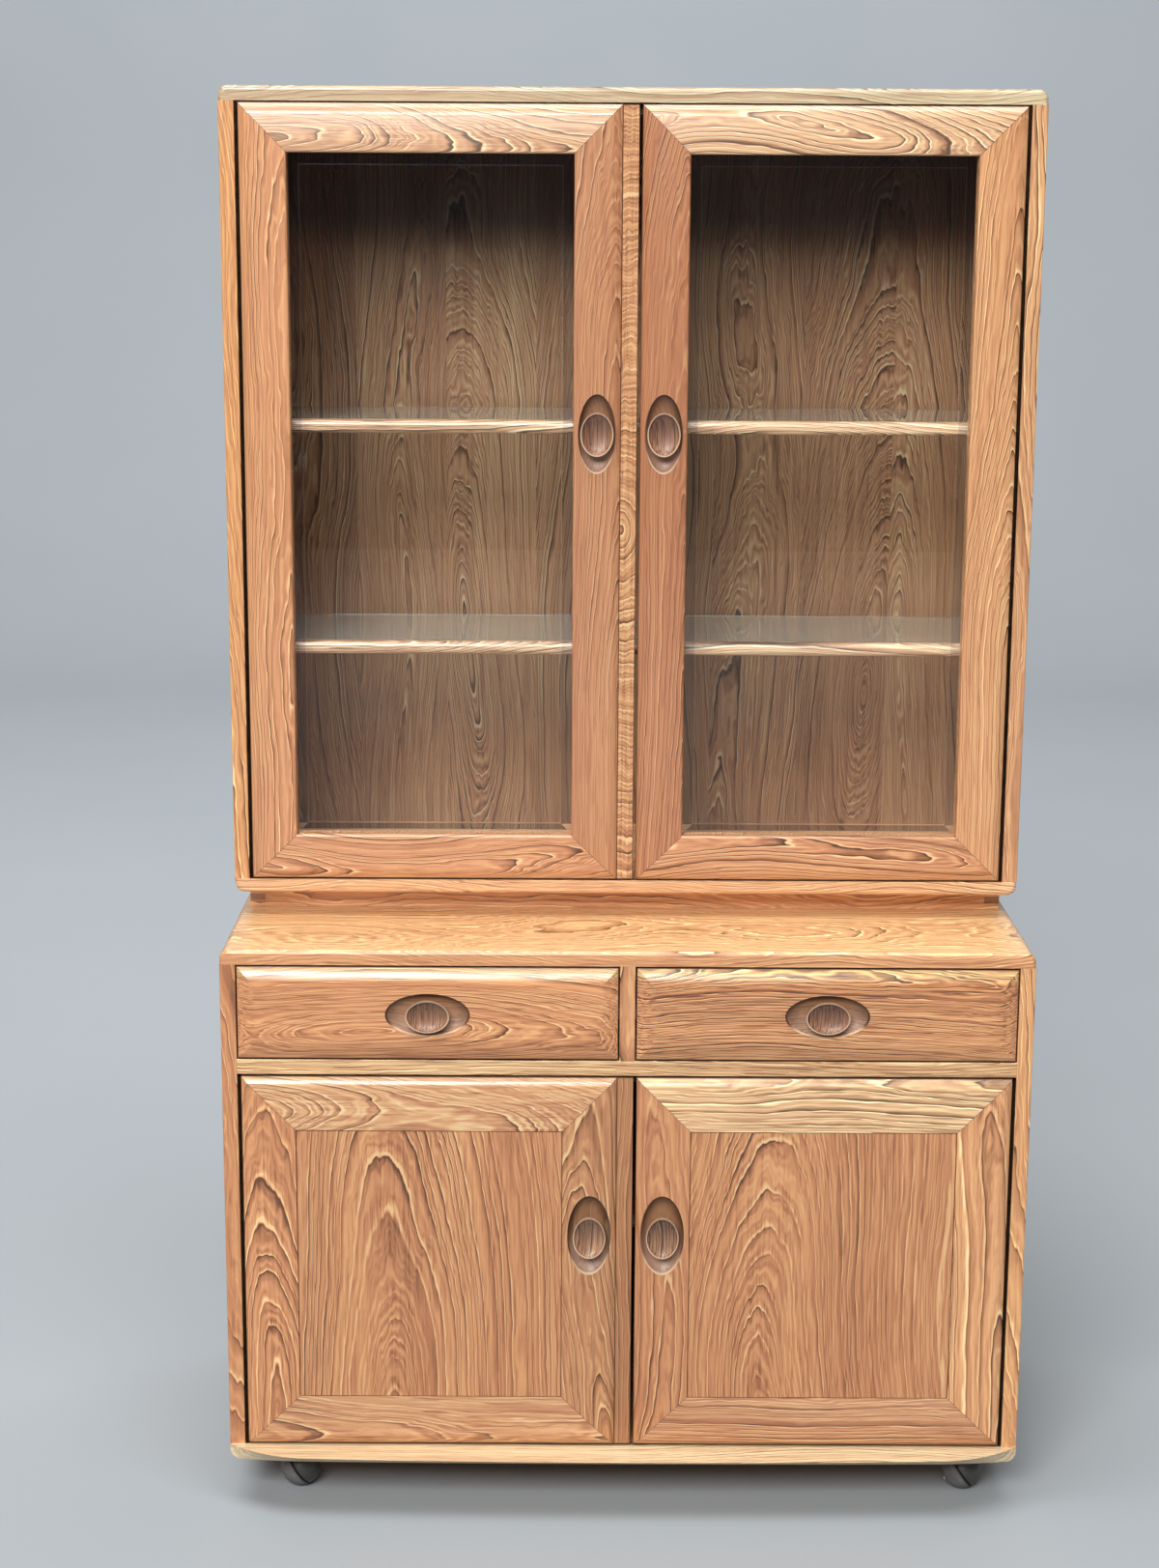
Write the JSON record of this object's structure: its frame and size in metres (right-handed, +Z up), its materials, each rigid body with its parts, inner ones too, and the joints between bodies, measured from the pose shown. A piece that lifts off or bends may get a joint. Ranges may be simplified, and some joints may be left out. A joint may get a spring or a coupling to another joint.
{
  "type": "display cabinet",
  "caption": "Elm display cabinet: glazed upper unit with glass shelves on a castored base with drawers and panelled doors, dished oval knobs in scooped recesses.",
  "frame": {"origin": "on the floor under the middle of the whole cabinet's box", "axes": "+X to the right seen from the front, +Y to the back, +Z up"},
  "size_m": [0.91, 0.495, 1.605],
  "materials": {
    "elm": "satin oiled",
    "knob_elm": "satin oiled",
    "back_veneer": "satin",
    "drawer_beech": "satin",
    "clear_glass": "polished",
    "hinge_bronze": "dark lacquer",
    "hood_grey": "satin",
    "wheel_grey": "matte",
    "pin_steel": "brushed",
    "catch_brown": "matte"
  },
  "bodies": {
    "case": {"base_top": "elm", "base_side_left": "elm", "base_side_right": "elm", "base_bottom": "elm", "base_back": "back_veneer", "drawer_rail": "elm", "drawer_divider": "elm", "drawer_runners": "drawer_beech", "base_shelf": "elm", "shelf_pins": "pin_steel", "upper_top": "elm", "upper_side_left": "elm", "upper_side_right": "elm", "upper_bottom": "elm", "upper_back": "back_veneer", "plinth_frame": "elm", "shelf_glass": "clear_glass", "shelf_lips": "elm", "hinge_case_leaves": "hinge_bronze", "hinge_pins": "hinge_bronze", "door_catches": "catch_brown", "castor_sockets": "pin_steel"},
    "upper_door_left": {"upper_door_left_stiles": "elm", "upper_door_left_rails": "elm", "upper_door_left_glass": "clear_glass", "upper_door_left_beads": "elm", "upper_door_left_knob": "knob_elm", "upper_door_left_hinge_leaf": "hinge_bronze", "upper_door_left_strip": "elm"},
    "lower_door_left": {"lower_door_left_stiles": "elm", "lower_door_left_rails": "elm", "lower_door_left_panel": "elm", "lower_door_left_knob": "knob_elm", "lower_door_left_hinge_leaf": "hinge_bronze", "lower_door_left_strip": "elm"},
    "drawer_left": {"drawer_left_front": "elm", "drawer_left_box": "drawer_beech", "drawer_left_knob": "knob_elm"},
    "upper_door_right": {"upper_door_right_stiles": "elm", "upper_door_right_rails": "elm", "upper_door_right_glass": "clear_glass", "upper_door_right_beads": "elm", "upper_door_right_knob": "knob_elm", "upper_door_right_hinge_leaf": "hinge_bronze"},
    "lower_door_right": {"lower_door_right_stiles": "elm", "lower_door_right_rails": "elm", "lower_door_right_panel": "elm", "lower_door_right_knob": "knob_elm", "lower_door_right_hinge_leaf": "hinge_bronze"},
    "drawer_right": {"drawer_right_front": "elm", "drawer_right_box": "drawer_beech", "drawer_right_knob": "knob_elm"},
    "castor_front_left_hood": {"castor_front_left_hood": "hood_grey"},
    "castor_front_left_wheel": {"castor_front_left_wheel": "wheel_grey"},
    "castor_front_right_hood": {"castor_front_right_hood": "hood_grey"},
    "castor_front_right_wheel": {"castor_front_right_wheel": "wheel_grey"},
    "castor_back_left_hood": {"castor_back_left_hood": "hood_grey"},
    "castor_back_left_wheel": {"castor_back_left_wheel": "wheel_grey"},
    "castor_back_right_hood": {"castor_back_right_hood": "hood_grey"},
    "castor_back_right_wheel": {"castor_back_right_wheel": "wheel_grey"}
  },
  "joints": [
    {"name": "upper_door_left_swing", "type": "hinge", "parent": "case", "child": "upper_door_left", "pos_m": [-0.4355, -0.0525, 1.15], "axis": [0, 0, -1], "range_deg": [0, 150]},
    {"name": "upper_door_right_swing", "type": "hinge", "parent": "case", "child": "upper_door_right", "pos_m": [0.4355, -0.0525, 1.15], "axis": [0, 0, 1], "range_deg": [0, 150]},
    {"name": "lower_door_left_swing", "type": "hinge", "parent": "case", "child": "lower_door_left", "pos_m": [-0.4355, -0.2025, 0.3], "axis": [0, 0, -1], "range_deg": [0, 150]},
    {"name": "lower_door_right_swing", "type": "hinge", "parent": "case", "child": "lower_door_right", "pos_m": [0.4355, -0.2025, 0.3], "axis": [0, 0, 1], "range_deg": [0, 150]},
    {"name": "drawer_left_slide", "type": "slide", "parent": "case", "child": "drawer_left", "axis": [0, -1, 0], "range_m": [0, 0.3]},
    {"name": "drawer_right_slide", "type": "slide", "parent": "case", "child": "drawer_right", "axis": [0, -1, 0], "range_m": [0, 0.3]},
    {"name": "castor_front_left_swivel", "type": "hinge", "parent": "case", "child": "castor_front_left_hood", "pos_m": [-0.39, -0.1505, 0.058], "axis": [0, 0, 1], "continuous": true},
    {"name": "castor_front_left_roll", "type": "hinge", "parent": "castor_front_left_hood", "child": "castor_front_left_wheel", "pos_m": [-0.379, -0.1505, 0.02337], "axis": [0.8192, 0, 0.5736], "continuous": true},
    {"name": "castor_front_right_swivel", "type": "hinge", "parent": "case", "child": "castor_front_right_hood", "pos_m": [0.39, -0.1505, 0.058], "axis": [0, 0, 1], "continuous": true},
    {"name": "castor_front_right_roll", "type": "hinge", "parent": "castor_front_right_hood", "child": "castor_front_right_wheel", "pos_m": [0.401, -0.1505, 0.02337], "axis": [0.8192, 0, 0.5736], "continuous": true},
    {"name": "castor_back_left_swivel", "type": "hinge", "parent": "case", "child": "castor_back_left_hood", "pos_m": [-0.39, 0.1955, 0.058], "axis": [0, 0, 1], "continuous": true},
    {"name": "castor_back_left_roll", "type": "hinge", "parent": "castor_back_left_hood", "child": "castor_back_left_wheel", "pos_m": [-0.379, 0.1955, 0.02337], "axis": [0.8192, 0, 0.5736], "continuous": true},
    {"name": "castor_back_right_swivel", "type": "hinge", "parent": "case", "child": "castor_back_right_hood", "pos_m": [0.39, 0.1955, 0.058], "axis": [0, 0, 1], "continuous": true},
    {"name": "castor_back_right_roll", "type": "hinge", "parent": "castor_back_right_hood", "child": "castor_back_right_wheel", "pos_m": [0.401, 0.1955, 0.02337], "axis": [0.8192, 0, 0.5736], "continuous": true}
  ]
}
